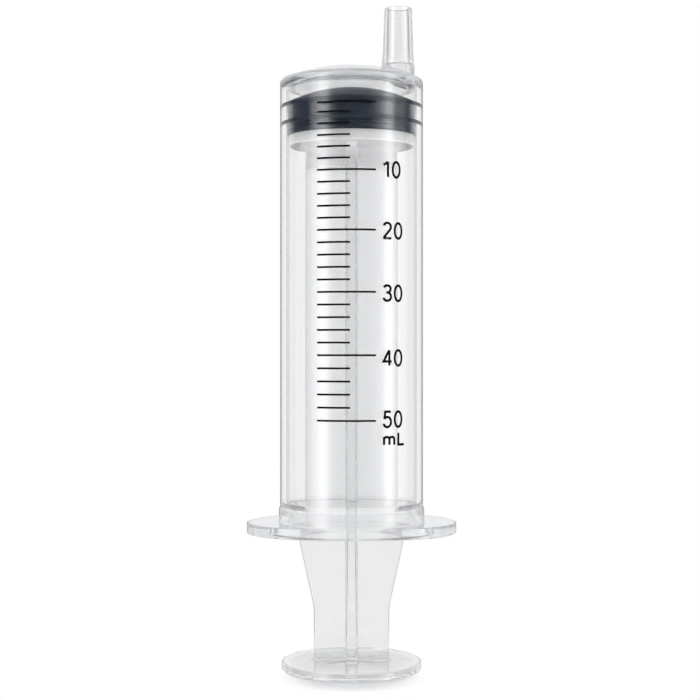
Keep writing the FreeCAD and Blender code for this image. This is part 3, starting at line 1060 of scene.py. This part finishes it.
def make_camera():
    """A level camera in front of the scale."""
    camera = bpy.data.objects.new("camera", bpy.data.cameras.new("camera"))
    camera.data.lens = LENS
    camera.data.sensor_width = 36.0
    camera.data.clip_start = 0.01
    camera.location = CAMERA
    camera.rotation_euler = (math.pi / 2, 0, 0)
    bpy.context.scene.collection.objects.link(camera)
    bpy.context.scene.camera = camera


def seen_by_eye(tree, path):
    """1 for rays from the camera, from a gloss or through something clear, and 0 for the rest."""
    seen = calculate(tree, "MAXIMUM", path["Is Camera Ray"], path["Is Glossy Ray"])
    return calculate(tree, "MAXIMUM", seen, path["Is Transmission Ray"])


def after_gloss(tree, path):
    """1 for rays that a glossy or clear surface has mirrored, and 0 for the rest."""
    return calculate(tree, "GREATER_THAN", path["Glossy Depth"], 0.5)


FLOOR_REACH = 2.0
FLOOR_DROP = 0.02 * MM
FLOOR_COLOUR = (0.8, 0.8, 0.805, 1)
SHADOW_MIDDLE = (0, -10 * MM, 0)
SHADOW_INNER = 9 * MM
SHADOW_OUTER = 17 * MM
FOOT_INNER = 20 * MM
FOOT_OUTER = 50 * MM


def make_floor():
    """A white floor that keeps the object's shadow near its foot."""
    mesh = bpy.data.meshes.new("floor")
    corners = [(-1, -1), (1, -1), (1, 1), (-1, 1)]
    points = [(x * FLOOR_REACH, y * FLOOR_REACH, -FLOOR_DROP) for x, y in corners]
    mesh.from_pydata(points, [], [(0, 1, 2, 3)])
    floor = bpy.data.objects.new("floor", mesh)
    bpy.context.scene.collection.objects.link(floor)

    material = bpy.data.materials.new("floor_white")
    material.use_nodes = True
    tree = material.node_tree
    tree.nodes.clear()
    out = tree.nodes.new("ShaderNodeOutputMaterial")
    lit = tree.nodes.new("ShaderNodeBsdfDiffuse")
    lit.inputs["Color"].default_value = FLOOR_COLOUR
    white = tree.nodes.new("ShaderNodeEmission")
    clear = tree.nodes.new("ShaderNodeBsdfTransparent")
    path = tree.nodes.new("ShaderNodeLightPath").outputs
    place = tree.nodes.new("ShaderNodeNewGeometry").outputs["Position"]

    # White to the eye outside the shadow, and to all that is seen through the plastic
    from_shadow = tree.nodes.new("ShaderNodeVectorMath")
    from_shadow.operation = "DISTANCE"
    from_shadow.inputs[1].default_value = SHADOW_MIDDLE
    tree.links.new(place, from_shadow.inputs[0])
    outside = spread(tree, from_shadow.outputs["Value"], SHADOW_INNER, SHADOW_OUTER, smooth=True)
    pale = calculate(tree, "MULTIPLY", outside, seen_by_eye(tree, path))
    pale = calculate(tree, "MAXIMUM", pale, path["Is Transmission Ray"])
    ground = mix_shaders(tree, pale, lit.outputs["BSDF"], white.outputs["Emission"])

    # Not there for mirrored rays, nor away from the foot for rays through the plastic
    from_axis = tree.nodes.new("ShaderNodeVectorMath")
    from_axis.operation = "LENGTH"
    tree.links.new(place, from_axis.inputs[0])
    away = spread(tree, from_axis.outputs["Value"], FOOT_INNER, FOOT_OUTER)
    away = calculate(tree, "MULTIPLY", away, path["Is Transmission Ray"])
    gone = calculate(tree, "MAXIMUM", after_gloss(tree, path), away)
    ground = mix_shaders(tree, gone, ground, clear.outputs["BSDF"])
    tree.links.new(ground, out.inputs["Surface"])
    mesh.materials.append(material)


# The studio that mirroring surfaces see: (azimuth in degrees from the camera's side, brightness).
# A softbox stands to the left and one to the right, with dark gaps between the pale walls.

ROOM = (
    (-175, 0.95), (-172, 0.2), (-163, 0.2), (-159, 0.9), (-118, 0.95), (-110, 0.06),
    (-74, 0.06), (-66, 1.4), (-60, 2.0), (-50, 3.6), (-45, 3.2), (-40, 2.6), (-35, 1.0),
    (-30, 0.4), (-22, 0.06), (28, 0.06), (38, 0.4), (48, 1.1), (54, 2.0), (59, 3.2),
    (64, 3.8), (70, 3.2), (76, 1.0), (95, 0.6), (103, 0.06), (110, 0.06),
    (118, 0.95), (159, 0.9), (163, 0.2), (172, 0.2), (175, 0.95),
)
BRIGHTEST = 6.0

# Spans of a direction's sideways or upward share, and the brightness at each end

WALL_SPAN = (0.12, 0.5)
WALL_LEVELS = (1.04, 0.35)
EYE_LEVEL_SPAN = (0.28, 0.5)
CEILING_SPAN = (0.6, 0.9)
CEILING_LEVELS = (0.95, 0.4)

CLOUDY_LEVEL = 0.9
CLOUDY_TRANSMISSIONS = (4, 6)
CLOUDY_MIRRORINGS = (1, 2)
INSIDE_LEVEL = 2.0
SOFT_LEVEL = 0.74
SOFT_COLOUR = (0.97, 0.985, 1, 1)


def background(tree, strength, colour=(1, 1, 1, 1)):
    """A background of one colour, its strength a number or another node's output."""
    node = tree.nodes.new("ShaderNodeBackground")
    node.inputs["Color"].default_value = colour
    feed(tree, strength, node.inputs["Strength"])
    return node.outputs["Background"]


def make_world():
    """White to the camera. Clear plastic sees a white wall behind it, and gloss sees the room."""
    world = bpy.data.worlds.new("studio")
    bpy.context.scene.world = world
    world.use_nodes = True
    tree = world.node_tree
    tree.nodes.clear()
    out = tree.nodes.new("ShaderNodeOutputWorld")
    path = tree.nodes.new("ShaderNodeLightPath").outputs
    place = tree.nodes.new("ShaderNodeTexCoord")
    axes = tree.nodes.new("ShaderNodeSeparateXYZ")
    tree.links.new(place.outputs["Generated"], axes.inputs["Vector"])

    # Seen straight through: white behind, greyer toward the sides
    aside = calculate(tree, "ABSOLUTE", axes.outputs["X"])
    wall = spread(tree, aside, *WALL_SPAN, *WALL_LEVELS, smooth=True)

    # Mirrored: softboxes and dark gaps at eye level, and pale above and below
    front = calculate(tree, "MULTIPLY", axes.outputs["Y"], -1.0)
    turn = calculate(tree, "ARCTAN2", axes.outputs["X"], front)
    bright = tree.nodes.new("ShaderNodeMath")
    bright.operation = "MULTIPLY"
    bright.inputs[1].default_value = BRIGHTEST
    stops = [((azimuth + 180) / 360, (level / BRIGHTEST,) * 3) for azimuth, level in ROOM]
    link_ramp(tree, spread(tree, turn, -math.pi, math.pi), bright.inputs[0], stops)
    above = calculate(tree, "ABSOLUTE", axes.outputs["Z"])
    level_band = spread(tree, above, *EYE_LEVEL_SPAN, smooth=True)
    ceiling = spread(tree, above, *CEILING_SPAN, *CEILING_LEVELS)
    room = blend(tree, level_band, bright.outputs[0], ceiling)

    # Cloudy plastic scatters, so light that has met many faces sees an even room
    passed = spread(tree, path["Transmission Depth"], *CLOUDY_TRANSMISSIONS)
    mirrored = spread(tree, path["Glossy Depth"], *CLOUDY_MIRRORINGS)
    deep = calculate(tree, "MAXIMUM", passed, mirrored)
    room = blend(tree, deep, room, CLOUDY_LEVEL)
    level = blend(tree, after_gloss(tree, path), wall, room)

    # Light that reaches a surface through the clear barrel comes evenly from all round
    scattered = calculate(tree, "GREATER_THAN", path["Diffuse Depth"], 0.5)
    level = blend(tree, scattered, level, INSIDE_LEVEL)

    sees = calculate(tree, "MAXIMUM", path["Is Glossy Ray"], path["Is Transmission Ray"])
    soft = background(tree, SOFT_LEVEL, SOFT_COLOUR)
    lights = mix_shaders(tree, sees, soft, background(tree, level))
    shown = mix_shaders(tree, path["Is Camera Ray"], lights, background(tree, 1.0))
    tree.links.new(shown, out.inputs["Surface"])


LAMPS_AIM = Vector((0, 0, 75)) * MM


def add_softbox(name, azimuth, height, distance, width, tall, power):
    """A soft light at an azimuth in degrees from the camera's side, aimed at the barrel."""
    light = bpy.data.lights.new(name, "AREA")
    light.shape = "RECTANGLE"
    light.size = width
    light.size_y = tall
    light.energy = power
    lamp = bpy.data.objects.new(name, light)
    turn = math.radians(azimuth)
    lamp.location = (distance * math.sin(turn), -distance * math.cos(turn), height)
    aim = LAMPS_AIM - lamp.location
    lamp.rotation_euler = aim.to_track_quat("-Z", "Y").to_euler()
    lamp.visible_camera = False
    lamp.visible_glossy = False
    lamp.visible_transmission = False
    bpy.context.scene.collection.objects.link(lamp)


bpy.context.scene.view_settings.view_transform = "Standard"
make_camera()
make_floor()
make_world()
add_softbox("left_softbox", -53, height=0.1, distance=0.9, width=0.6, tall=1.0, power=2.6)
add_softbox("right_softbox", 60, height=0.1, distance=0.9, width=0.5, tall=1.0, power=1.8)
add_softbox("top_light", 0, height=1.0, distance=0.1, width=0.7, tall=0.7, power=2.0)
add_softbox("back_light", 180, height=0.8, distance=0.7, width=0.6, tall=0.6, power=3.6)
